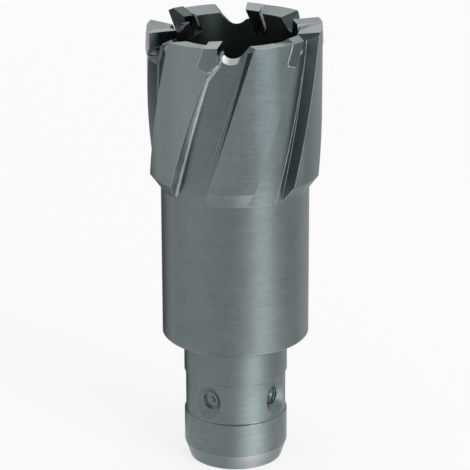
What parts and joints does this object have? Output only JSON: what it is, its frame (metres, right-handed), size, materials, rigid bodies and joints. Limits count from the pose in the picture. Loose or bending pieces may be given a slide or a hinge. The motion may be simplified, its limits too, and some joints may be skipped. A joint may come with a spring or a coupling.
{
  "type": "annular cutter",
  "caption": "Carbide-tipped annular cutter for cutting round holes in steel plate, with helical flutes, a hollow centre and a grooved, dimpled quick-change shank.",
  "frame": {"origin": "centre of the shank's end face, on which the cutter stands", "axes": "+Z along the tool's axis from the shank to the teeth; -Y is the side that faces the camera in the picture"},
  "size_m": [0.0298, 0.0294, 0.0787],
  "materials": {
    "steel": "satin ground steel",
    "carbide": "fine ground carbide"
  },
  "bodies": {
    "root": {"cutter_body": "steel", "carbide_tip_1": "carbide", "carbide_tip_2": "carbide", "carbide_tip_3": "carbide", "carbide_tip_4": "carbide", "carbide_tip_5": "carbide", "carbide_tip_6": "carbide"}
  },
  "joints": []
}
